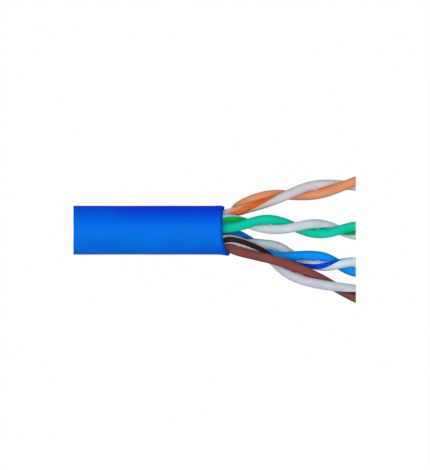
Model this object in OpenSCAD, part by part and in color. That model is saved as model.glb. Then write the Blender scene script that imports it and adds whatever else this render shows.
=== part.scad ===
// Stripped end of a four-pair unshielded twisted-pair data cable.
// The cable lies along +X with its square-cut back end at x = 0 and its axis on y = 0, z = 0.
// The four pairs leave the jacket and fan out in the XY plane; +Z is up. Millimetres.

/* [Jacket] */
// Outside diameter of the jacket
jacket_od = 5.1; // [5.1:0.05:6.2]
// Wall thickness of the jacket
jacket_wall = 0.32; // [0.2:0.01:0.34]
// Length of jacket, from the square back end to the middle of the stripped mouth
jacket_len = 15.9; // [15:0.1:18]
// How far off square the mouth is cut, in degrees, leaning back at the top
mouth_tilt = 9.5; // [0:0.5:12]

/* [Wires] */
// Diameter over the insulation of one wire
wire_d = 0.98; // [0.8:0.01:0.98]
// Diameter of the solid copper core
core_d = 0.511; // [0.4:0.001:0.56]
// Room between the two wires of a pair
pair_gap = 0.024; // [0.004:0.002:0.03]
// Position along the cable at which all eight wires are cut off square
wire_end = 29.4; // [27:0.1:36]
// Length of one full turn of the pairs in the packed bundle
lay_inside = 10; // [9:0.5:16]
// Length before the mouth over which the packed bundle opens up
opening = 3.5; // [2.5:0.1:5]

/* [Middle of each pair, sideways from the axis: orange, green, brown, blue] */
// At the mouth
side_mouth = [1.40, 0.70, -1.30, -0.60]; // [-1.4:0.05:1.4]
// At 11% of the free length
side_11 = [2.30, 0.70, -1.75, -0.90]; // [-3:0.05:3]
// At 30% of the free length
side_30 = [3.20, 0.65, -2.70, -1.80]; // [-5:0.05:5]
// At 52% of the free length
side_52 = [3.80, 0.35, -4.30, -2.70]; // [-7:0.05:7]
// At 76% of the free length
side_76 = [4.35, 0.10, -5.50, -3.30]; // [-8:0.05:8]
// At the cut tips
side_tip = [4.85, -0.05, -6.60, -3.85]; // [-9:0.05:9]

/* [Middle of each pair, height above the axis: orange, green, brown, blue] */
// At the mouth
up_mouth = [-0.45, 1.15, 0.45, -1.15]; // [-1.4:0.05:1.4]
// At 11% of the free length
up_11 = [-0.60, 1.20, 0.50, -1.30]; // [-1.55:0.05:2]
// At 30% of the free length
up_30 = [-0.80, 1.10, 0.50, -1.45]; // [-1.55:0.05:3]
// At 52% of the free length
up_52 = [-1.00, 0.90, 0.30, -1.50]; // [-1.55:0.05:4]
// At 76% of the free length
up_76 = [-1.30, 0.60, -0.10, -1.50]; // [-1.55:0.05:4]
// At the cut tips
up_tip = [-1.50, 0.30, -0.50, -1.55]; // [-1.55:0.05:4]

/* [Left-hand turn of each pair, 0 with its coloured wire on top and 90 with it at +Y] */
// In the bundle, carried on to the mouth
turn_bundle = [230, -40, -130, -220]; // [-360:5:360]
// At the mouth
turn_mouth = [210, -75, -130, -240]; // [-360:5:360]
// At 11% of the free length
turn_11 = [150, -30, -80, -215]; // [-360:5:360]
// At 30% of the free length
turn_30 = [130, 70, -20, -135]; // [-360:5:360]
// At 52% of the free length
turn_52 = [200, 175, 75, 0]; // [-360:5:720]
// At 76% of the free length
turn_76 = [300, 300, 155, 115]; // [-360:5:720]
// At the cut tips
turn_tip = [390, 430, 235, 270]; // [-360:5:720]

/* [Stripes and cord] */
// Depth of the coloured stripe laid into each white wire
stripe_depth = 0.07; // [0.04:0.01:0.1]
// Where the stripe sits at the mouth, in degrees from the side that faces its partner
stripe_mouth = [-290, 60, 120, -30]; // [-360:5:360]
// Where the stripe sits at 11% of the free length, in the same way
stripe_11 = [-145, 50, 90, -70]; // [-360:5:360]
// Where the stripe sits at 30% of the free length, in the same way
stripe_30 = [-80, 30, 60, -90]; // [-360:5:360]
// Where the stripe sits at the cut tips, in the same way
stripe_tip = [20, -30, 60, -110]; // [-360:5:360]
// Diameter of the rip cord in the middle of the bundle
cord_d = 0.36; // [0.2:0.02:0.4]

/* [Hidden] */

// Pairs, as places in the tables above
ORANGE = 0;
GREEN = 1;
BROWN = 2;
BLUE = 3;
PAIRS = [ORANGE, GREEN, BROWN, BLUE];
// Wires of a pair
COLOURED = 0;
WHITE = 1;

wire_r = wire_d / 2;
core_r = core_d / 2;
seat_r = 1.2445 * wire_d;          // four nested pairs of equal wires touch at this radius
strand_r = wire_r + pair_gap / 2;  // from a pair's middle to the middle of a wire
bundle_end = jacket_len - opening; // up to here the four pairs are packed tight
lead_in = 2;                       // spacing of the curve points that end the packed bundle
cord_setback = 0.4;                // rip cord's end, back from the middle of the mouth
overrun = 1;                       // how far cutting shapes pass through what they cut
probe = 0.01;                      // half the distance over which a direction is measured

// Rings of points stand at these places along the cable
inside_steps = 22;
free_steps = 28;
free_len = wire_end - jacket_len;
stations = concat(
    [for (i = [0 : inside_steps - 1]) jacket_len * i / inside_steps],
    [for (i = [0 : free_steps]) jacket_len + free_len * i / free_steps]);
last = len(stations) - 1;

// ---- Curves through the tables ----

function unit(v) = v / norm(v);

// Smooth curve through values given at places: each piece is a cubic that takes its slope
// at a point from that point's two neighbours
function slope(places, values, i) = let (
    before = max(i - 1, 0),
    after = min(i + 1, len(places) - 1))
    (values[after] - values[before]) / (places[after] - places[before]);
function curve(places, values, x) = let (
    i = max([0, for (k = [1 : len(places) - 2]) if (places[k] <= x) k]),
    span = places[i + 1] - places[i],
    t = (x - places[i]) / span)
    (2 * t ^ 3 - 3 * t ^ 2 + 1) * values[i]
        + (t ^ 3 - 2 * t ^ 2 + t) * span * slope(places, values, i)
        + (3 * t ^ 2 - 2 * t ^ 3) * values[i + 1]
        + (t ^ 3 - t ^ 2) * span * slope(places, values, i + 1);

function column(rows, pair) = [for (row = rows) row[pair]];

// Places of the table rows, from the mouth to the tips
free_at = [for (share = [0, 0.11, 0.3, 0.52, 0.76, 1]) jacket_len + free_len * share];
way_at = concat([0, bundle_end - lead_in, bundle_end], free_at);
bundle_turn_at = [bundle_end - 2 * lead_in, bundle_end - lead_in, bundle_end];
turn_at = concat(bundle_turn_at, free_at);
stripe_at = [free_at[0], free_at[1], free_at[2], free_at[5]];

// Values at those places, one list for each pair
function seat_angle(pair) = 90 * pair - 22.5; // seat in the bundle, from +Y towards +Z
function way(seat, rows, pair) = concat([seat, seat, seat], column(rows, pair));
way_side = [for (pair = PAIRS) way(seat_r * cos(seat_angle(pair)),
    [side_mouth, side_11, side_30, side_52, side_76, side_tip], pair)];
way_up = [for (pair = PAIRS) way(seat_r * sin(seat_angle(pair)),
    [up_mouth, up_11, up_30, up_52, up_76, up_tip], pair)];
function bundle_turn(pair, x) = turn_bundle[pair] + 360 * (x - jacket_len) / lay_inside;
turns = [for (pair = PAIRS) concat(
    [for (x = bundle_turn_at) bundle_turn(pair, x)],
    column([turn_mouth, turn_11, turn_30, turn_52, turn_76, turn_tip], pair))];
stripe_turns = [for (pair = PAIRS)
    column([stripe_mouth, stripe_11, stripe_30, stripe_tip], pair)];

// Middle line of a pair: straight in the packed bundle, then out through the mouth into the fan
function pair_mid(pair, x) =
    [x, curve(way_at, way_side[pair], x), curve(way_at, way_up[pair], x)];

// Left-handed twist of a pair: one steady lay in the bundle, then its own turns in the fan
function twist(pair, x) = x < bundle_end - lead_in
    ? bundle_turn(pair, x)
    : curve(turn_at, turns[pair], x);

// Side of a white wire that carries the stripe, held at its mouth value inside the jacket
function stripe_side(pair, x) = curve(stripe_at, stripe_turns[pair], max(x, jacket_len));

// ---- Middle line of one wire ----

// Direction across a line with the given tangent, at an angle from its top towards its +Y side
function across(tangent, angle) = let (sideways = unit(cross([0, 0, 1], tangent)))
    sin(angle) * sideways + cos(angle) * cross(tangent, sideways);

// Wire's middle, measured square to the pair's middle line at x
function wire_raw(pair, wire, x) = let (
    tangent = unit(pair_mid(pair, x + probe) - pair_mid(pair, x - probe)))
    pair_mid(pair, x) + strand_r * across(tangent, twist(pair, x) + 180 * wire);
// The same line, taken by two corrections at the point where it really passes x
function wire_mid(pair, wire, x) = let (
    first = 2 * x - wire_raw(pair, wire, x)[0],
    second = first + x - wire_raw(pair, wire, first)[0])
    wire_raw(pair, wire, second);
function wire_dir(pair, wire, x) =
    unit(wire_mid(pair, wire, x + probe) - wire_mid(pair, wire, x - probe));

// ---- Outlines across a wire: each corner is [angle, radius] ----

sides = 12;         // corners round a wire
core_n = sides / 2; // corners round its core
step = 360 / sides;
floor_r = wire_r - stripe_depth;
round_loop = [for (k = [0 : sides - 1]) [k * step - step, wire_r]];
core_loop = [for (k = [0 : core_n - 1]) [2 * k * step - step, core_r]];
// A white wire's outline has a groove where corner 1 of the round outline would be
groove_loop = concat([[-step, wire_r]],
    [for (k = [-1 : 1]) [k * step, floor_r]],
    [for (k = [2 : sides - 1]) [k * step - step, wire_r]]);
stripe_loop = concat(
    [for (k = [-1 : 1]) [k * step, wire_r]],
    [for (k = [1 : -1 : -1]) [k * step, floor_r]]);

// Points of an outline at every station. The two end rings lie flat in the cuts.
function ring(pair, wire, i, loop) = let (
    x = stations[i],
    middle = wire_mid(pair, wire, x),
    tangent = wire_dir(pair, wire, x),
    turn = wire == COLOURED ? 0 : twist(pair, x) + stripe_side(pair, x))
    [for (corner = loop) let (point = middle + corner[1] * across(tangent, turn + corner[0]))
        i == 0 || i == last ? point + tangent * (x - point[0]) / tangent[0] : point];
function rings(pair, wire, loop) = [for (i = [0 : last]) each ring(pair, wire, i, loop)];

// ---- Faces ----

// Side faces between rings of n corners whose points begin at base, for count edges from
// corner first on; swap turns the diagonal so that two solids that touch share their edges
function walls(base, n, first, count, swap = false) = [
    for (i = [0 : last - 1]) for (j = [0 : count - 1]) let (
        corner = (first + j) % n,
        next = (corner + 1) % n,
        here = base + i * n,
        ahead = here + n)
        each (swap
            ? [[here + corner, here + next, ahead + next],
                [here + corner, ahead + next, ahead + corner]]
            : [[here + corner, here + next, ahead + corner],
                [here + next, ahead + next, ahead + corner]])];
function flipped(faces) = [for (face = faces) [for (k = [len(face) - 1 : -1 : 0]) face[k]]];
function moved(faces, by) = [for (face = faces) [for (k = face) k + by]];

// Ring-shaped end face between an outline and the bore's corners, which begin at index bore
function round_end(bore) = [for (j = [0 : core_n - 1]) let (
    out = 2 * j,
    in = bore + j,
    in_next = bore + (j + 1) % core_n)
    each [[out, out + 1, in], [out + 1, in_next, in], [out + 1, (out + 2) % sides, in_next]]];
// The same for the grooved outline, with the faces round the groove first
function groove_end(bore) = concat(
    [[1, 2, bore], [2, bore + 1, bore], [2, 3, bore + 1], [4, 5, 3], [3, 5, bore + 1],
        [5, bore + 2, bore + 1], [5, 6, bore + 2]],
    [for (j = [2 : core_n - 1]) let (
        out = 2 * j + 2,
        in = bore + j,
        in_next = bore + (j + 1) % core_n)
        each concat([[out, out + 1, in], [out + 1, in_next, in]],
            j < core_n - 1
                ? [[out + 1, out + 2, in_next]]
                : [[out + 1, 0, 1], [out + 1, 1, in_next]])]);

// ---- Parts of a wire ----

// Insulation of one wire, with the core's bore through it; a white one carries the groove
module insulation(pair, wire) {
    loop = wire == COLOURED ? round_loop : groove_loop;
    n = len(loop);
    bore_base = (last + 1) * n;
    end_faces = wire == COLOURED ? round_end(n) : groove_end(n);
    function end_at(i) = [for (face = end_faces)
        [for (k = face) k < n ? i * n + k : bore_base + i * core_n + k - n]];
    polyhedron(
        points = concat(rings(pair, wire, loop), rings(pair, wire, core_loop)),
        faces = concat(walls(0, n, 0, n), flipped(walls(bore_base, core_n, 0, core_n)),
            flipped(end_at(0)), end_at(last)));
}

// Solid copper core of one wire
module core(pair, wire) {
    end_face = [[for (k = [0 : core_n - 1]) k]];
    color("#b87333") polyhedron(
        points = rings(pair, wire, core_loop),
        faces = concat(walls(0, core_n, 0, core_n),
            flipped(end_face), moved(end_face, last * core_n)));
}

// Coloured stripe that fills the groove of a white wire
module stripe(pair) {
    n = len(stripe_loop);
    end_faces = [[0, 1, 5], [1, 4, 5], [1, 2, 4], [2, 3, 4]];
    polyhedron(
        points = rings(pair, WHITE, stripe_loop),
        faces = concat(walls(0, n, 0, 2), walls(0, n, 2, 4, swap = true),
            flipped(end_faces), moved(end_faces, last * n)));
}

// ---- Nodes ----

// Tube with a square back end and a tilted mouth
module jacket() {
    color("#0a62d6") difference() {
        rotate([0, 90, 0])
            cylinder(h = jacket_len + 2 * overrun, r = jacket_od / 2, $fn = 96);
        translate([-overrun, 0, 0]) rotate([0, 90, 0])
            cylinder(h = jacket_len + 4 * overrun, r = jacket_od / 2 - jacket_wall, $fn = 96);
        translate([jacket_len, 0, 0]) rotate([0, -mouth_tilt, 0])
            translate([0, -2 * jacket_od, -2 * jacket_od]) cube(4 * jacket_od);
    }
}
module rip_cord() {
    color("#e8e4da") rotate([0, 90, 0])
        cylinder(h = jacket_len - cord_setback, r = cord_d / 2, $fn = 32);
}
module insulation_orange() { color("#e1966a") insulation(ORANGE, COLOURED); }
module insulation_white_orange() { color("#dcd6dc") insulation(ORANGE, WHITE); }
module insulation_green() { color("#07be96") insulation(GREEN, COLOURED); }
module insulation_white_green() { color("#d2dee0") insulation(GREEN, WHITE); }
module insulation_brown() { color("#7a443e") insulation(BROWN, COLOURED); }
module insulation_white_brown() { color("#d6d8de") insulation(BROWN, WHITE); }
module insulation_blue() { color("#0896f0") insulation(BLUE, COLOURED); }
module insulation_white_blue() { color("#d2dce2") insulation(BLUE, WHITE); }
module core_orange() { core(ORANGE, COLOURED); }
module core_white_orange() { core(ORANGE, WHITE); }
module core_green() { core(GREEN, COLOURED); }
module core_white_green() { core(GREEN, WHITE); }
module core_brown() { core(BROWN, COLOURED); }
module core_white_brown() { core(BROWN, WHITE); }
module core_blue() { core(BLUE, COLOURED); }
module core_white_blue() { core(BLUE, WHITE); }
module stripe_orange() { color("#d35a13") stripe(ORANGE); }
module stripe_green() { color("#00823c") stripe(GREEN); }
module stripe_brown() { color("#2d1c1c") stripe(BROWN); }
module stripe_blue() { color("#003cc3") stripe(BLUE); }

jacket();
rip_cord();
insulation_orange();
insulation_white_orange();
insulation_green();
insulation_white_green();
insulation_brown();
insulation_white_brown();
insulation_blue();
insulation_white_blue();
core_orange();
core_white_orange();
core_green();
core_white_green();
core_brown();
core_white_brown();
core_blue();
core_white_blue();
stripe_orange();
stripe_green();
stripe_brown();
stripe_blue();
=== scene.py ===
"""Stripped end of a network cable: a blue jacket, a rip cord and four twisted pairs of wires.

The cable runs along +X with its axis on y = z = 0. The back cut is at x = 0, the jacket's mouth
near x = JACKET_LENGTH and the wires' tips at x = END. +Z is up. In each pair one wire is coloured
and the other is white with a coloured stripe. Lengths are in mm up to the stage section, which is
in metres, and angles are in degrees unless a name or comment says otherwise.
"""
import bmesh
import bpy
import math
import mathutils
import numpy as np
from types import SimpleNamespace as Pair
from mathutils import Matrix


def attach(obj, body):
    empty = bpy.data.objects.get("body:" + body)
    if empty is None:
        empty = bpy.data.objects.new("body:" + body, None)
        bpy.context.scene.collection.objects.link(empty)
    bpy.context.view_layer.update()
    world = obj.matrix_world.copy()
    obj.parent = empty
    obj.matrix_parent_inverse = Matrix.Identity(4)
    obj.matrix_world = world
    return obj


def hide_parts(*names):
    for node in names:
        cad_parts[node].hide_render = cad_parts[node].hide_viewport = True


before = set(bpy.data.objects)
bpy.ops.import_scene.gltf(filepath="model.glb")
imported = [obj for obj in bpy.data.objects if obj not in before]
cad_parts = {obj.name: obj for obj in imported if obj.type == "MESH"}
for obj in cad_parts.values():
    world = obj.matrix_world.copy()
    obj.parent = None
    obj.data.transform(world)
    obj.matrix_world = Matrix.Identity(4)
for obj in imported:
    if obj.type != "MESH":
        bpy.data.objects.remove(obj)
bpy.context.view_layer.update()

# ------------------------------------------------------------------ driving sizes
MM = 0.001                  # metres in a mm
JACKET_OD = 5.1
JACKET_WALL = 0.32
JACKET_LENGTH = 15.9
MOUTH_TILT = 9.5            # the mouth's lean from square to the cable
WIRE_D = 0.98
COPPER_D = 0.511
PAIR_GAP = 0.024            # between the two wires of a pair
END = 29.4
OPENING = 3.5               # how far inside the mouth the pairs leave their seats
LAY_LENGTH = 10.0           # one full twist of a pair inside the jacket
STRIPE_DEPTH = 0.07

WIRE_R = WIRE_D / 2
COPPER_R = COPPER_D / 2
PAIR_OFFSET = WIRE_R + PAIR_GAP / 2     # from a pair's middle line to each wire's
SEAT_R = 1.2445 * WIRE_D                # from the cable's axis to a seated pair's middle line
FREE = END - JACKET_LENGTH
SEATED = JACKET_LENGTH - OPENING

# Stations along X that the tables below are given at
FREE_AT = [JACKET_LENGTH + FREE * part for part in (0, 0.11, 0.3, 0.52, 0.76, 1)]
WAY_AT = np.array([0, SEATED - 2, SEATED] + FREE_AT)
TURN_AT = np.array([SEATED - 4, SEATED - 2, SEATED] + FREE_AT)
STRIPE_AT = np.array([JACKET_LENGTH, FREE_AT[1], FREE_AT[2], END])

# side, up: y and z of the pair's middle line at FREE_AT
# turn: the pair's twist at FREE_AT; mouth_turn: its regular twist, continued to the mouth
# stripe_turn: the stripe's angle round its wire, from the twist, at STRIPE_AT
# stripe_half: half the angle that the stripe covers
PAIRS = [
    Pair(number=0, name="orange", mouth_turn=230, stripe_half=47,
         side=[1.40, 2.30, 3.20, 3.80, 4.35, 4.85],
         up=[-0.45, -0.60, -0.80, -1.00, -1.30, -1.50],
         turn=[210, 150, 130, 200, 300, 390],
         stripe_turn=[-290, -145, -80, 20]),
    Pair(number=1, name="green", mouth_turn=-40, stripe_half=40,
         side=[0.70, 0.70, 0.65, 0.35, 0.10, -0.05],
         up=[1.15, 1.20, 1.10, 0.90, 0.60, 0.30],
         turn=[-75, -30, 70, 175, 300, 430],
         stripe_turn=[60, 50, 30, -30]),
    Pair(number=2, name="brown", mouth_turn=-130, stripe_half=37,
         side=[-1.30, -1.75, -2.70, -4.30, -5.50, -6.60],
         up=[0.45, 0.50, 0.50, 0.30, -0.10, -0.50],
         turn=[-130, -80, -20, 75, 155, 235],
         stripe_turn=[120, 90, 60, 60]),
    Pair(number=3, name="blue", mouth_turn=-220, stripe_half=37,
         side=[-0.60, -0.90, -1.80, -2.70, -3.30, -3.85],
         up=[-1.15, -1.30, -1.45, -1.50, -1.50, -1.55],
         turn=[-240, -215, -135, 0, 115, 270],
         stripe_turn=[-30, -70, -90, -110]),
]


# ------------------------------------------------------------------ curves and noise
def curve(knots, values, x):
    """Smooth cubic through the values at the knots."""
    values = np.asarray(values, float)
    slope = np.empty(len(knots))
    slope[1:-1] = (values[2:] - values[:-2]) / (knots[2:] - knots[:-2])
    slope[0] = (values[1] - values[0]) / (knots[1] - knots[0])
    slope[-1] = (values[-1] - values[-2]) / (knots[-1] - knots[-2])
    i = np.clip(np.searchsorted(knots, x, side="right") - 1, 0, len(knots) - 2)
    span = knots[i + 1] - knots[i]
    t = (x - knots[i]) / span
    return ((2 * t**3 - 3 * t**2 + 1) * values[i] + (t**3 - 2 * t**2 + t) * span * slope[i]
            + (3 * t**2 - 2 * t**3) * values[i + 1] + (t**3 - t**2) * span * slope[i + 1])


def hump(x, centre, width):
    """Bell curve, 1 high at its centre."""
    return np.exp(-((x - centre) / width) ** 2)


def smooth_noise(count, seed, step):
    """Values that wander gently between about -1 and 1, with a knot every step values."""
    knots = np.random.default_rng(seed).uniform(-1, 1, int(count / step) + 4)
    x = np.arange(count) / step
    i = x.astype(int)
    t = x - i
    t = t * t * (3 - 2 * t)
    return knots[i] * (1 - t) + knots[i + 1] * t


def unit(vectors):
    return vectors / np.linalg.norm(vectors, axis=-1, keepdims=True) if False else (
        vectors / np.linalg.norm(vectors, axis=-1, keepdims=True))


# ------------------------------------------------------------------ the wires' routes
def across(heading, angle):
    """Unit vectors square to heading, at an angle from its top towards its +Y side."""
    sideways = unit(np.cross(np.array([0.0, 0.0, 1.0]), heading))
    angle = np.radians(angle)[..., None]
    return np.sin(angle) * sideways + np.cos(angle) * np.cross(heading, sideways)


def pair_middle(pair, x):
    seat_angle = math.radians(90 * pair.number - 22.5)
    y, z = SEAT_R * math.cos(seat_angle), SEAT_R * math.sin(seat_angle)
    return np.stack([x, curve(WAY_AT, [y] * 3 + pair.side, x),
                     curve(WAY_AT, [z] * 3 + pair.up, x)], -1)


def pair_turn(pair, x):
    """The pair's twist: regular inside the jacket, then from the table."""
    def regular(at):
        return pair.mouth_turn + 360 * (at - JACKET_LENGTH) / LAY_LENGTH
    knots = [regular(at) for at in TURN_AT[:3]] + pair.turn
    return np.where(x < SEATED - 2, regular(x), curve(TURN_AT, knots, x))


def wire_at(pair, side, x):
    """Points on a wire's middle line, pushed off the pair's middle at x. side is 1 for white."""
    heading = unit(pair_middle(pair, x + 0.01) - pair_middle(pair, x - 0.01))
    return pair_middle(pair, x) + PAIR_OFFSET * across(heading, pair_turn(pair, x) + 180 * side)


def wire_middle(pair, side, x):
    """As wire_at, with x corrected twice so that the points land at x themselves."""
    once = 2 * x - wire_at(pair, side, x)[..., 0]
    twice = once + x - wire_at(pair, side, once)[..., 0]
    return wire_at(pair, side, twice)


def wire_frame(pair, side, x):
    """A wire's middle line, its heading there and the length run along it."""
    middle = wire_middle(pair, side, x)
    heading = unit(wire_middle(pair, side, x + 0.01) - wire_middle(pair, side, x - 0.01))
    steps = np.linalg.norm(np.diff(middle, axis=0), axis=1)
    return middle, heading, np.concatenate([[0], np.cumsum(steps)])


# ------------------------------------------------------------------ mesh building
def even_angles(stations, corners):
    return np.zeros((stations, 1)) + np.linspace(0, 360, corners, endpoint=False)[None]


def tube_rings(middle, heading, angle, radius):
    """Rings of points round a line; angle and radius are (stations, corners) arrays."""
    return middle[:, None] + radius[..., None] * across(heading[:, None], angle)


def slide_to(ring, heading, x):
    """Moves a ring's points along the heading until they lie at x."""
    return ring + ((x - ring[:, 0]) / heading[0])[:, None] * heading


def square_ends(rings, heading, first_x, last_x):
    """Slides the end rings flat and square to the cable, easing off over the next twelve."""
    ease = 12
    rings = rings.copy()
    for end, x in ((0, first_x), (len(rings) - 1, last_x)):
        shift = (x - rings[end, :, 0]) / heading[end, 0]
        for k in range(len(rings)):
            weight = max(0.0, 1 - abs(k - end) / ease)
            if weight > 0:
                rings[k] += (shift * weight)[:, None] * heading[k]
    return rings


def loft(rings, closed=False):
    """Quads between rings. closed joins the last ring to the first; otherwise both are capped."""
    count, corners = rings.shape[:2]
    faces = []
    j = np.arange(corners)
    k = (j + 1) % corners
    for i in range(count if closed else count - 1):
        a, b = i * corners, ((i + 1) % count) * corners
        faces += np.stack([a + j, b + j, b + k, a + k], 1).tolist()
    if not closed:
        faces.append(list(range(corners)))
        faces.append(list(range((count - 1) * corners, count * corners))[::-1])
    return rings.reshape(-1, 3), faces


def lay_coords(run, angle, radius):
    """Texture coordinates that follow a piece: length along it, then its cross-section."""
    angle = np.radians(angle)
    return np.stack([run[:, None] + 0 * angle, radius * np.cos(angle),
                     radius * np.sin(angle)], -1)


def build(name, replaced, verts, faces, lay, zone, sharp):
    """Makes an object that replaces a CAD piece. zone marks cut or thin places for materials, and
    on the jacket also where shade is painted.
    """
    mesh = bpy.data.meshes.new(name)
    mesh.from_pydata((np.asarray(verts) * MM).tolist(), [], faces)
    lay_data = mesh.attributes.new("lay", "FLOAT_VECTOR", "POINT").data
    lay_data.foreach_set("vector", np.asarray(lay, np.float32).ravel())
    zone_data = mesh.attributes.new("zone", "FLOAT", "POINT").data
    zone_data.foreach_set("value", np.asarray(zone, np.float32).ravel())
    mesh.polygons.foreach_set("use_smooth", [True] * len(mesh.polygons))
    mesh.set_sharp_from_angle(angle=math.radians(sharp))
    mesh.update()
    ob = bpy.data.objects.new(name, mesh)
    bpy.context.scene.collection.objects.link(ob)
    bm = bmesh.new()
    bm.from_mesh(mesh)
    bmesh.ops.recalc_face_normals(bm, faces=bm.faces)
    bm.to_mesh(mesh)
    bm.free()
    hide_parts(replaced)
    return ob


# ------------------------------------------------------------------ wires
STATIONS = np.concatenate([np.linspace(0, JACKET_LENGTH, 120, endpoint=False),
                           np.linspace(JACKET_LENGTH, END, 230)])
LIP = 0.022                 # rounding of the insulation's cut edges


def wire_name(pair, side):
    return ("white_" if side else "") + pair.name


def wire_swell(pair, side):
    """Tiny swells along a wire, shared by the white wire and its stripe."""
    count, seed = len(STATIONS), 10 * pair.number + 5 * side
    swell = 0.004 * smooth_noise(count, seed, 9) + 0.003 * smooth_noise(count, seed + 50, 31)
    return np.minimum(swell, 0.004)


def stripe_middle(pair):
    """The angle of the stripe's middle round the white wire, as a column."""
    own = curve(STRIPE_AT, pair.stripe_turn, np.maximum(STATIONS, JACKET_LENGTH))
    return (pair_turn(pair, STATIONS) + own)[:, None]


def stripe_reach(pair, trim=0):
    """How far the stripe reaches below and above its middle."""
    count, number = len(STATIONS), pair.number
    below = (pair.stripe_half + 1.6 * smooth_noise(count, 300 + number, 11)
             + 1.0 * smooth_noise(count, 320 + number, 4))
    smear = 0 * STATIONS
    if pair.name == "orange":
        # smeared wider just out of the mouth, and further on the upper side
        below = below + (28 * hump(STATIONS, centre=17.3, width=1.15)
                         * (1 + 0.12 * smooth_noise(count, 340, 3)))
        smear = 24 * hump(STATIONS, centre=18.0, width=1.3)
    below = below - trim
    return below, below + smear


def insulation(pair, side):
    """One closed skin: outside with the stripe's groove if white, cut faces and bore."""
    middle, heading, run = wire_frame(pair, side, STATIONS)
    count = len(STATIONS)
    plain_corners, groove_corners = (46, 10) if side else (44, 0)
    corners = plain_corners + groove_corners
    radius = np.full((count, corners), WIRE_R)
    if side:
        below, above = stripe_reach(pair)
        angle = stripe_middle(pair) + np.hstack([
            np.linspace(above, 360 - below, plain_corners, axis=1),
            np.linspace(-below, above, groove_corners, axis=1)])
        radius[:, plain_corners:] = WIRE_R - STRIPE_DEPTH
    else:
        angle = even_angles(count, corners)
    radius = radius + wire_swell(pair, side)[:, None]
    body = square_ends(tube_rings(middle, heading, angle, radius), heading, LIP, END - LIP)

    picks = np.linspace(0, count - 1, 70).round().astype(int)
    bore_angle = angle[picks].copy()
    if side:
        # the bore has no groove, so no two of its points may share a place
        bore_angle[:, plain_corners] += 2
        bore_angle[:, -1] -= 2
    bore = tube_rings(middle[picks], heading[picks], bore_angle,
                      np.full((len(picks), corners), COPPER_R + 0.002))
    bore = square_ends(bore, heading[picks], 0, END)

    def lip_ring(end, inset, x):
        ring = tube_rings(middle[[end]], heading[[end]], angle[[end]], radius[[end]] - inset)[0]
        return slide_to(ring, heading[end], x)[None]

    rings = np.concatenate([
        lip_ring(0, LIP, 0.0), lip_ring(0, LIP * 0.3, LIP * 0.3), body,
        lip_ring(-1, LIP * 0.3, END - LIP * 0.3), lip_ring(-1, LIP, END), bore[::-1]])
    verts, faces = loft(rings, closed=True)
    # for every ring, the station that its texture coordinates come from
    source = np.concatenate([[0, 0], np.arange(count), [count - 1] * 2, picks[::-1]])
    zone = np.concatenate([[1, 0.6], np.zeros(count), [0.6, 1], np.ones(len(picks))])
    name = "insulation_" + wire_name(pair, side)
    return build(name + "_skin", name, verts, faces,
                 lay_coords(run[source], angle[source], WIRE_R),
                 np.repeat(zone, corners), sharp=40)


def stripe(pair):
    """Coloured strip laid into the white wire's groove."""
    half_corners = 12           # on the outside, and again on the underside
    middle, heading, run = wire_frame(pair, 1, STATIONS)
    below, above = stripe_reach(pair, trim=0.35)
    turn = stripe_middle(pair)
    angle = turn + np.hstack([np.linspace(-below, above, half_corners, axis=1),
                              np.linspace(above, -below, half_corners, axis=1)])
    swell = wire_swell(pair, 1)[:, None]
    # the outside drops a little towards its edges
    edge_drop = 0.004 * np.linspace(-1, 1, half_corners)[None] ** 6
    radius = np.empty(angle.shape)
    radius[:, :half_corners] = WIRE_R + 0.0035 + swell - edge_drop
    radius[:, half_corners:] = WIRE_R - STRIPE_DEPTH + 0.003 + swell
    rings = square_ends(tube_rings(middle, heading, angle, radius), heading, 0.004, END - 0.004)
    verts, faces = loft(rings)
    thin = np.zeros(angle.shape)
    if pair.name == "orange":
        # the upper part of the smear is thin and pale, and all of the second half is faint
        upper = np.clip((angle - turn - 24) / 14, 0, 1)
        thin = 1.35 * upper * hump(STATIONS, centre=17.4, width=1.4)[:, None]
        thin = np.maximum(thin, 1.30 * np.clip((STATIONS - 22.2) / 1.6, 0, 1)[:, None])
    name = "stripe_" + pair.name
    return build(name + "_inlay", name, verts, faces, lay_coords(run, angle, WIRE_R), thin,
                 sharp=40)


def core(pair, side):
    """Copper rod with sheared ends."""
    stations, corners, radius = 150, 36, COPPER_R - 0.001
    face_rings = [0.955, 0.8, 0.55, 0.28, 0.06]     # parts of the radius, outermost first
    middle, heading, run = wire_frame(pair, side, np.linspace(0, END, stations))
    random = np.random.default_rng(100 + 10 * pair.number + side)
    angle = even_angles(stations, corners)
    body = tube_rings(middle, heading, angle, np.full(angle.shape, radius))
    body = square_ends(body, heading, 0.012, END - 0.012)

    def cut_face(end, x, outward):
        """A cut face, slightly sloped, with a shallow groove across it."""
        groove_angle = random.uniform(0, 360)
        rows = []
        for part in face_rings:
            ring = tube_rings(middle[[end]], heading[[end]], angle[:1],
                              np.full((1, corners), radius * part))[0]
            off_groove = part * np.cos(np.radians(angle[0] - groove_angle))
            relief = -0.02 * hump(off_groove, centre=0, width=0.22) + 0.006 * off_groove
            ring = slide_to(ring, heading[end], x + outward * relief)
            ring[:, 0] = np.clip(ring[:, 0], 0.0, END)
            rows.append(ring)
        return np.array(rows)

    back = cut_face(0, 0.004, outward=-1)
    tip = cut_face(-1, END - 0.004, outward=1)
    rings = np.concatenate([back[::-1], body, tip])
    verts, faces = loft(rings)
    extra = len(face_rings)
    run = np.concatenate([[0] * extra, run, [run[-1]] * extra])
    part = np.concatenate([face_rings[::-1], np.ones(stations), face_rings])[:, None]
    zone = np.concatenate([np.ones(extra), np.zeros(stations), np.ones(extra)])
    name = "core_" + wire_name(pair, side)
    return build(name + "_rod", name, verts, faces,
                 lay_coords(run, even_angles(len(rings), corners), part * COPPER_R),
                 np.repeat(zone, corners), sharp=40)


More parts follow.
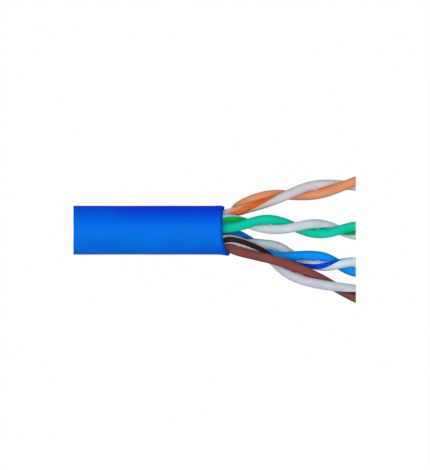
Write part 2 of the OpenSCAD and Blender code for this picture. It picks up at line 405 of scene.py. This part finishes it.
# ------------------------------------------------------------------ jacket
# How much further than a clean cut the mouth reaches, round from the top towards +Y.
# The edge is nearly straight over the top and torn on into a tongue at the -Y flank.
TEAR = np.array([   # angle, reach
    (-180, -0.2), (-135, 0.04), (-110, 0.18), (-97, 0.31), (-84, 0.34), (-72, 0.26),
    (-56, 0.14), (-40, 0.09), (-25, 0.03), (0, 0.0), (25, -0.02), (50, -0.11),
    (75, -0.20), (95, -0.25), (120, -0.42), (150, -0.40),
])
RIPPLE_PITCH = 26.0         # one turn of the four-lobed ripple in the jacket


def jacket():
    """One closed skin: outside, mouth rim, inside and back cut."""
    corners = 240
    angle = np.linspace(0, 2 * math.pi, corners, endpoint=False)    # radians, from +Y to +Z
    from_top = np.degrees(np.arctan2(np.cos(angle), np.sin(angle)))
    outer_r, inner_r = JACKET_OD / 2, JACKET_OD / 2 - JACKET_WALL
    lean = np.sin(angle) * math.tan(math.radians(MOUTH_TILT))

    def around(x, radius):
        return np.stack([x, radius * np.cos(angle), radius * np.sin(angle)], -1)

    def lobes(x):
        return np.sin(angle * 4 - 2 * math.pi * x / RIPPLE_PITCH)

    def press(from_mouth):
        """Outward bulge of the tongue, where the brown pair presses on it."""
        return 0.14 * hump(from_top, centre=-86, width=32) * hump(from_mouth, 0, width=0.5)

    # the mouth's edge: a fine wander and the smoothed tear
    tear = np.interp(from_top, TEAR[:, 0], TEAR[:, 1], period=360)
    kernel = np.hanning(13)
    tear = np.convolve(np.pad(tear, 6, mode="wrap"), kernel / kernel.sum(), "valid")
    edge = (0.012 * np.sin(5 * angle + 2.1) + 0.010 * np.sin(11 * angle + 0.4)
            + 0.005 * np.sin(23 * angle) + tear)

    # outside, with stations crowded at the back cut and at the mouth
    mouth_x = JACKET_LENGTH - outer_r * lean + edge
    parts = np.concatenate([np.linspace(0, 0.01, 6), np.linspace(0.01, 0.93, 230)[1:],
                            np.linspace(0.93, 1, 65)[1:]])
    x = parts[:, None] * mouth_x
    from_mouth = mouth_x - x
    waves = 0.004 * np.sin(2 * math.pi * x / 7.3 + 1.3 * np.sin(angle))
    bead = 0.016 * hump(from_mouth, centre=0.62, width=0.26)
    roll_in = 0.07 * np.exp(-(from_mouth / 0.13) ** 1.5)
    groove = (0.010 * hump(from_mouth, centre=1.15, width=0.05)
              * (0.5 + 0.5 * np.sin(angle * 3 + 1)))
    back_round = 0.02 * hump(x, centre=0, width=0.05)
    radius = outer_r + 0.006 * lobes(x) + waves - 0.004 + bead - roll_in - groove - back_round
    radius = np.minimum(radius, outer_r + 0.02) + press(from_mouth)
    outside = around(x, radius)

    # mouth rim, from outside to inside: part of the way through the wall, bulge along X
    rim_r = radius[-1]
    rims = []
    for part, bulge in ((0.10, 0.018), (0.35, 0.03), (0.65, 0.026), (0.92, 0.006)):
        r = rim_r * (1 - part) + (inner_r + press(0)) * part
        rough_cut = 0.0036 * np.sin(37 * angle + part * 5)
        rims.append(around(mouth_x + bulge + rough_cut + (rim_r - r) * lean, r))

    # inside, from the mouth to the back
    inner_mouth_x = JACKET_LENGTH - inner_r * lean + edge
    inner_parts = np.concatenate([[1.0], np.linspace(0.985, 0.02, 90), [0.004, 0.0]])
    inner_x = inner_parts[:, None] * inner_mouth_x
    bore_r = (inner_r + 0.003 + np.maximum(0.010 * lobes(inner_x), 0)
              + press(inner_mouth_x - inner_x))
    bore_r[-1] += 0.02
    inside = around(inner_x, bore_r)

    # back cut, from inside to outside
    backs = [around(0 * angle, (inner_r * (1 - part) + (outer_r - 0.02) * part) + 0 * angle)
             for part in (0.12, 0.5, 0.88)]

    rings = np.concatenate([outside, np.array(rims), inside, np.array(backs)])
    verts, faces = loft(rings, closed=True)
    # zone: full on the mouth rim and back cut, fading out over a third of a mm behind the mouth,
    # half on the inside; the material darkens these as painted shade and roughens them
    zone = np.concatenate([np.clip(1.25 - from_mouth / 0.26, 0, 1) * 0.95,
                           np.ones((len(rims), corners)),
                           np.full((len(inner_parts), corners), 0.5),
                           np.ones((len(backs), corners))])
    return build("jacket_tube", "jacket", verts, faces, rings, zone, sharp=50)


def rip_cord():
    """Three plies of yarn laid round each other, ending short of the mouth."""
    stations, corners = 420, 14
    start, end = 0.03, JACKET_LENGTH - 0.45
    ply_offset, ply_r, ply_pitch = 0.082, 0.088, 1.15
    fibre_pitch = 0.42
    angle = even_angles(stations, corners)
    verts, faces, lays = [], [], []
    base = 0
    for ply, short in enumerate((0.0, 0.12, 0.05)):
        ply_end = end - short
        x = np.linspace(start, ply_end, stations)
        wind = 2 * math.pi * x / ply_pitch + ply * 2 * math.pi / 3
        middle = np.stack([x, ply_offset * np.cos(wind), ply_offset * np.sin(wind)], -1)
        heading = unit(np.gradient(middle, x, axis=0))
        taper = np.minimum((x - start) / 0.05, (ply_end - x) / 0.12)
        taper = np.clip(taper, 0.12, 1) ** 0.5
        ribs = 0.006 * np.cos(np.radians(angle) * 5 + x[:, None] * 2 * math.pi / fibre_pitch)
        radius = (ply_r + ribs) * taper[:, None]
        ply_verts, ply_faces = loft(tube_rings(middle, heading, angle, radius))
        verts.append(ply_verts)
        faces += [[corner + base for corner in face] for face in ply_faces]
        base += len(ply_verts)
        lays.append(lay_coords(x, angle, 1))
    return build("rip_cord_yarn", "rip_cord", np.concatenate(verts), faces,
                 np.concatenate(lays), np.zeros(base), sharp=60)


# ------------------------------------------------------------------ shader helpers
def linear(rgb):
    """Linear RGBA from an sRGB colour of 0 to 255."""
    parts = [q / 255 for q in rgb]
    return [q / 12.92 if q <= 0.04045 else ((q + 0.055) / 1.055) ** 2.4 for q in parts] + [1.0]


def shade(colour, factor):
    return [min(max(q * factor, 0), 1) for q in colour[:3]] + [1.0]


class Graph:
    """Short ways to add nodes to a tree. Values may be numbers, colours or other outputs."""

    def __init__(self, tree):
        self.tree = tree

    def add(self, kind, **settings):
        node = self.tree.nodes.new(kind)
        for key, value in settings.items():
            setattr(node, key, value)
        return node

    def feed(self, socket, value):
        if isinstance(value, bpy.types.NodeSocket):
            self.tree.links.new(value, socket)
        else:
            socket.default_value = value

    def fill(self, node, inputs):
        for key, value in inputs.items():
            self.feed(node.inputs[key], value)
        return node

    def lay_and_zone(self):
        return (self.add("ShaderNodeAttribute", attribute_name="lay").outputs["Vector"],
                self.add("ShaderNodeAttribute", attribute_name="zone").outputs["Fac"])

    def noise(self, vector, stretch, detail, rough=0.5, warp=0.0, shift=(0, 0, 0)):
        mapping = self.fill(self.add("ShaderNodeMapping"),
                            {"Vector": vector, "Scale": stretch, "Location": shift})
        return self.fill(self.add("ShaderNodeTexNoise"), {
            "Vector": mapping.outputs["Vector"], "Scale": 1.0, "Detail": detail,
            "Roughness": rough, "Distortion": warp}).outputs["Fac"]

    def ramp(self, factor, stops):
        node = self.fill(self.add("ShaderNodeValToRGB"), {"Fac": factor})
        elements = node.color_ramp.elements
        while len(elements) > 1:
            elements.remove(elements[-1])
        elements[0].position, elements[0].color = stops[0]
        for position, colour in stops[1:]:
            elements.new(position).color = colour
        return node.outputs["Color"]

    def remap(self, value, span=(0.3, 0.7), to=(0, 1)):
        return self.fill(self.add("ShaderNodeMapRange"), {
            "Value": value, "From Min": span[0], "From Max": span[1],
            "To Min": to[0], "To Max": to[1]}).outputs["Result"]

    def math(self, operation, a, b):
        node = self.add("ShaderNodeMath", operation=operation)
        return self.fill(node, {0: a, 1: b}).outputs[0]

    def mix(self, factor, a, b):
        # sockets 6, 7 and output 2 are the colour ones
        node = self.add("ShaderNodeMix", data_type="RGBA", blend_type="MIX")
        return self.fill(node, {0: factor, 6: a, 7: b}).outputs[2]

    def bump(self, height, strength, distance, **normal):
        return self.fill(self.add("ShaderNodeBump"), {
            "Height": height, "Strength": strength, "Distance": distance,
            **normal}).outputs["Normal"]

    def surface(self, shader):
        self.feed(self.add("ShaderNodeOutputMaterial").inputs["Surface"], shader)

    def principled(self, **inputs):
        named = {key.replace("_", " "): value for key, value in inputs.items()}
        self.surface(self.fill(self.add("ShaderNodeBsdfPrincipled"), named).outputs["BSDF"])


def new_material(name):
    material = bpy.data.materials.new(name)
    material.use_nodes = True
    material.node_tree.nodes.clear()
    return material, Graph(material.node_tree)


# ------------------------------------------------------------------ materials
JACKET_RGB = (0, 110, 224)
# deep blue painted as shade on the jacket's flanks
JACKET_SHADE_BLUE = (0, 55, 234)
JACKET_SCUFF = (60, 150, 250)
# navy painted as shade on the jacket's cut faces, the band behind its mouth and its inside
JACKET_RIM_SHADE = (0, 52, 176), (2, 66, 192)

# plain, white: the two insulations; stripe: the stripe's colour; faded: where it is thin
# worn: the colour that shows through its streaks, and how strongly
COLOURS = {
    "orange": dict(plain=(222, 146, 103), white=(204, 198, 205), stripe=(216, 92, 20),
                   worn=((234, 160, 118), 0.62), faded=(232, 168, 134)),
    "green": dict(plain=(0, 196, 162), white=(194, 208, 215), stripe=(0, 160, 70),
                  worn=((20, 190, 120), 0.30)),
    "brown": dict(plain=(128, 70, 66), white=(193, 196, 208), stripe=(36, 21, 22),
                  worn=((84, 52, 50), 0.35)),
    # the blue pair's white is lighter than the other whites: painted light that offsets the shade
    # it lies in under the brown and green pairs
    "blue": dict(plain=(0, 150, 255), white=(203, 219, 224), stripe=(0, 62, 216),
                 worn=((20, 92, 236), 0.30)),
}


def jacket_material():
    material, g = new_material("jacket_pvc")
    lay, zone = g.lay_and_zone()
    base = linear(JACKET_RGB)
    cloud = g.noise(lay, stretch=(0.22, 0.8, 0.8), detail=3, rough=0.55)
    streaks = g.noise(lay, stretch=(0.10, 7.0, 7.0), detail=2, rough=0.6, shift=(3, 0, 0))
    speck = g.noise(lay, stretch=(14, 14, 14), detail=2, rough=0.7)
    colour = g.mix(g.remap(cloud), shade(base, 0.93), shade(base, 1.05))
    # painted shade: the blue is deepened along the +Y side, and low on the -Y side towards the
    # mouth
    place = g.fill(g.add("ShaderNodeSeparateXYZ"), {0: lay}).outputs
    ragged_y = g.math("ADD", place["Y"], g.remap(cloud, to=(-0.12, 0.12)))
    plus_side_shade = g.math("MULTIPLY", g.remap(ragged_y, span=(0.2, 2.4)),
                       g.remap(place["X"], span=(3.6, 6.2), to=(0.66, 1.0)))
    minus_side_shade = g.math("MULTIPLY", g.remap(place["Y"], span=(-1.5, -2.3)),
                        g.remap(place["X"], span=(8.5, 15.0), to=(0, 0.5)))
    colour = g.mix(g.math("MAXIMUM", plus_side_shade, minus_side_shade), colour, linear(JACKET_SHADE_BLUE))
    streak_amount = g.math("MULTIPLY", g.remap(streaks, span=(0.45, 0.75)), 0.07)
    colour = g.mix(streak_amount, colour, shade(base, 1.25))
    # handling scuffs: short pale rubs, sparse
    rub = g.noise(lay, stretch=(1.3, 5.5, 5.5), detail=4, rough=0.62, warp=0.6, shift=(11, 4, 2))
    gate = g.noise(lay, stretch=(0.28, 0.5, 0.5), detail=1, shift=(5, 9, 1))
    scuff = g.math("MULTIPLY", g.remap(rub, span=(0.60, 0.72)), g.remap(gate, span=(0.5, 0.62)))
    colour = g.mix(g.math("MULTIPLY", scuff, 0.10), colour, linear(JACKET_SCUFF))
    # cut faces drier, and darkened towards navy as painted shade, as are a narrow band just
    # behind the mouth and, more faintly, the inside
    cut = g.mix(g.remap(speck, span=(0.35, 0.65)), *map(linear, JACKET_RIM_SHADE))
    colour = g.mix(g.math("MULTIPLY", zone, 0.85), colour, cut)
    rough = g.math("ADD", g.remap(cloud, to=(0.46, 0.56)), g.math("MULTIPLY", scuff, 0.16))
    rough = g.math("ADD", rough, g.math("MULTIPLY", zone, 0.22))
    grain = g.noise(lay, stretch=(22, 26, 26), detail=3, rough=0.6)
    lines = g.noise(lay, stretch=(0.25, 13, 13), detail=2, shift=(7, 0, 0))
    normal = g.bump(grain, strength=0.45, distance=0.000012)
    normal = g.bump(lines, strength=0.40, distance=0.000014, Normal=normal)
    g.principled(Base_Color=colour, Roughness=rough, Normal=normal, IOR=1.5,
                 Specular_IOR_Level=0.03, Subsurface_Weight=0.05,
                 Subsurface_Radius=(0.3, 0.5, 1.0), Subsurface_Scale=0.0003)
    return material


def wire_material(name, rgb, zone_rgb, subsurface=0.12, specular=0.025, worn=None):
    """Wire plastic. zone_rgb is its colour where the zone attribute is set."""
    material, g = new_material(name)
    lay, zone = g.lay_and_zone()
    base = linear(rgb)
    light = [min(q * 1.10 + 0.008, 1) for q in base[:3]] + [1]
    cloud = g.noise(lay, stretch=(0.55, 1.6, 1.6), detail=3, rough=0.55,
                    shift=(sum(rgb) % 17, 0, 0))
    lines = g.noise(lay, stretch=(0.25, 16, 16), detail=2, rough=0.55, shift=(2, 5, 0))
    grain = g.noise(lay, stretch=(30, 34, 34), detail=3, rough=0.6)
    colour = g.mix(g.remap(cloud), shade(base, 0.93), light)
    line_amount = g.math("MULTIPLY", g.remap(lines, span=(0.5, 0.8)), 0.10)
    colour = g.mix(line_amount, colour, shade(base, 0.72))
    # small dark handling marks
    rub = g.noise(lay, stretch=(2.1, 6.0, 6.0), detail=4, rough=0.6, warp=0.8, shift=(1, 7, 3))
    mark = g.remap(rub, span=(0.66, 0.74))
    colour = g.mix(g.math("MULTIPLY", mark, 0.14), colour, shade(base, 0.5))
    if worn:
        # the stripe's thin colour is drawn out into streaks that let paler plastic through
        worn_rgb, worn_amount = worn
        streak = g.noise(lay, stretch=(0.75, 9.0, 9.0), detail=3, rough=0.6, warp=0.5,
                         shift=(4, 3, 8))
        streak = g.math("MULTIPLY", g.remap(streak, span=(0.50, 0.66)), worn_amount)
        colour = g.mix(streak, colour, linear(worn_rgb))
    colour = g.mix(g.math("MULTIPLY", zone, 0.7), colour, linear(zone_rgb))
    rough = g.math("ADD", g.remap(cloud, to=(0.34, 0.44)), g.math("MULTIPLY", mark, 0.12))
    rough = g.math("ADD", rough, g.math("MULTIPLY", zone, 0.2))
    normal = g.bump(grain, strength=0.30, distance=0.000007)
    normal = g.bump(lines, strength=0.45, distance=0.000008, Normal=normal)
    g.principled(Base_Color=colour, Roughness=rough, Normal=normal, IOR=1.5,
                 Specular_IOR_Level=specular, Subsurface_Weight=subsurface,
                 Subsurface_Radius=(1.0, 0.9, 0.8), Subsurface_Scale=0.00025)
    return material


def copper_material():
    material, g = new_material("copper_wire")
    lay, zone = g.lay_and_zone()
    cloud = g.noise(lay, stretch=(1.2, 6, 6), detail=3, rough=0.6)
    colour = g.ramp(cloud, [(0.3, linear((196, 112, 78))), (0.55, linear((222, 138, 100))),
                            (0.8, linear((170, 92, 66)))])
    # sheared faces are brighter, in patches
    shear = g.noise(lay, stretch=(30, 9, 40), detail=3, rough=0.65)
    bright = g.math("MULTIPLY", zone, g.remap(shear, to=(0, 0.6)))
    colour = g.mix(bright, colour, linear((240, 176, 140)))
    lines = g.noise(lay, stretch=(0.4, 40, 40), detail=2)
    normal = g.bump(lines, strength=0.25, distance=0.000004)
    normal = g.bump(shear, strength=0.35, distance=0.000006, Normal=normal)
    g.principled(Base_Color=colour, Roughness=g.remap(shear, to=(0.22, 0.42)), Normal=normal,
                 Metallic=1.0)
    return material


def yarn_material():
    material, g = new_material("rip_yarn")
    lay = g.add("ShaderNodeAttribute", attribute_name="lay").outputs["Vector"]
    fibre = g.noise(lay, stretch=(6, 9, 9), detail=4, rough=0.7, warp=1.0)
    colour = g.ramp(fibre, [(0.25, linear((176, 170, 156))), (0.6, linear((226, 221, 209))),
                            (0.85, linear((242, 240, 232)))])
    g.principled(Base_Color=colour, Roughness=0.85, Sheen_Weight=0.4, Sheen_Roughness=0.4,
                 Normal=g.bump(fibre, strength=0.6, distance=0.00002))
    return material


def floor_material():
    """Grey paper to the light, nearly pure white to the camera."""
    material, g = new_material("floor_paper")
    paper = g.fill(g.add("ShaderNodeBsdfDiffuse"), {"Color": (0.40, 0.40, 0.40, 1)})
    glow = g.fill(g.add("ShaderNodeEmission"), {"Color": (1, 1, 1, 1), "Strength": 1.0})
    seen = g.add("ShaderNodeLightPath").outputs["Is Camera Ray"]
    both = g.fill(g.add("ShaderNodeMixShader"), {
        0: g.remap(seen, span=(0, 1), to=(0.0, 0.992)),
        1: paper.outputs["BSDF"],
        2: glow.outputs["Emission"]})
    g.surface(both.outputs["Shader"])
    return material


# ------------------------------------------------------------------ the cable
def dress(ob, material):
    ob.data.materials.append(material)
    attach(ob, "root")


dress(jacket(), jacket_material())
dress(rip_cord(), yarn_material())
copper = copper_material()
for pair in PAIRS:
    colours = COLOURS[pair.name]
    for side in (0, 1):
        rgb = colours["white" if side else "plain"]
        cut_rgb = tuple(min(255, int(q * 0.9 + 28)) for q in rgb)
        dress(insulation(pair, side), wire_material(wire_name(pair, side) + "_pe", rgb, cut_rgb))
        dress(core(pair, side), copper)
    rgb = colours["stripe"]
    dress(stripe(pair),
          wire_material(pair.name + "_stripe_pe", rgb, colours.get("faded", rgb),
                        subsurface=0.04, specular=0.03, worn=colours["worn"]))

# ------------------------------------------------------------------ stage, in metres
FLOOR_HALF = 0.6
FLOOR_Z = -JACKET_OD / 2 * MM - 0.00003
LIGHT_TARGET = (0.0147, -0.0005, 0.0)


def add_floor():
    mesh = bpy.data.meshes.new("floor")
    corners = [(sx * FLOOR_HALF, sy * FLOOR_HALF, FLOOR_Z)
               for sx, sy in ((-1, -1), (1, -1), (1, 1), (-1, 1))]
    mesh.from_pydata(corners, [], [(0, 1, 2, 3)])
    floor = bpy.data.objects.new("floor", mesh)
    bpy.context.scene.collection.objects.link(floor)
    mesh.materials.append(floor_material())


def add_world():
    """White to the camera; to the light, a sky that brightens towards the top."""
    world = bpy.data.worlds.new("studio")
    bpy.context.scene.world = world
    world.use_nodes = True
    g = Graph(world.node_tree)
    direction = g.add("ShaderNodeTexCoord").outputs["Generated"]
    height = g.fill(g.add("ShaderNodeSeparateXYZ"), {0: direction}).outputs["Z"]
    climb = g.remap(height, span=(0.05, 0.95), to=(0.06, 1.22))
    seen = g.add("ShaderNodeLightPath").outputs["Is Camera Ray"]
    g.fill(world.node_tree.nodes["Background"],
           {"Color": (1, 1, 1, 1), "Strength": g.math("MAXIMUM", climb, seen)})


def softbox(name, location, size, power):
    light = bpy.data.lights.new(name, "AREA")
    light.shape = "SQUARE"
    light.size = size
    light.energy = power
    ob = bpy.data.objects.new(name, light)
    bpy.context.scene.collection.objects.link(ob)
    aim = mathutils.Vector(np.subtract(LIGHT_TARGET, location))
    ob.rotation_euler = aim.to_track_quat("-Z", "Y").to_euler()
    ob.location = location


def add_camera():
    """Looks straight down."""
    camera = bpy.data.cameras.new("camera")
    camera.type = "ORTHO"
    camera.ortho_scale = 0.048918
    camera.clip_start = 0.001
    camera.clip_end = 2.0
    ob = bpy.data.objects.new("camera", camera)
    ob.location = (0.014738, -0.0005, 0.15)
    bpy.context.scene.collection.objects.link(ob)
    bpy.context.scene.camera = ob


add_floor()
add_world()
softbox("key", location=(0.0147, -0.11, 0.32), size=0.26, power=0.25)
softbox("fill", location=(0.05, 0.20, 0.28), size=0.30, power=0.06)
add_camera()
bpy.context.scene.view_settings.view_transform = "Standard"
bpy.context.scene.view_settings.look = "None"
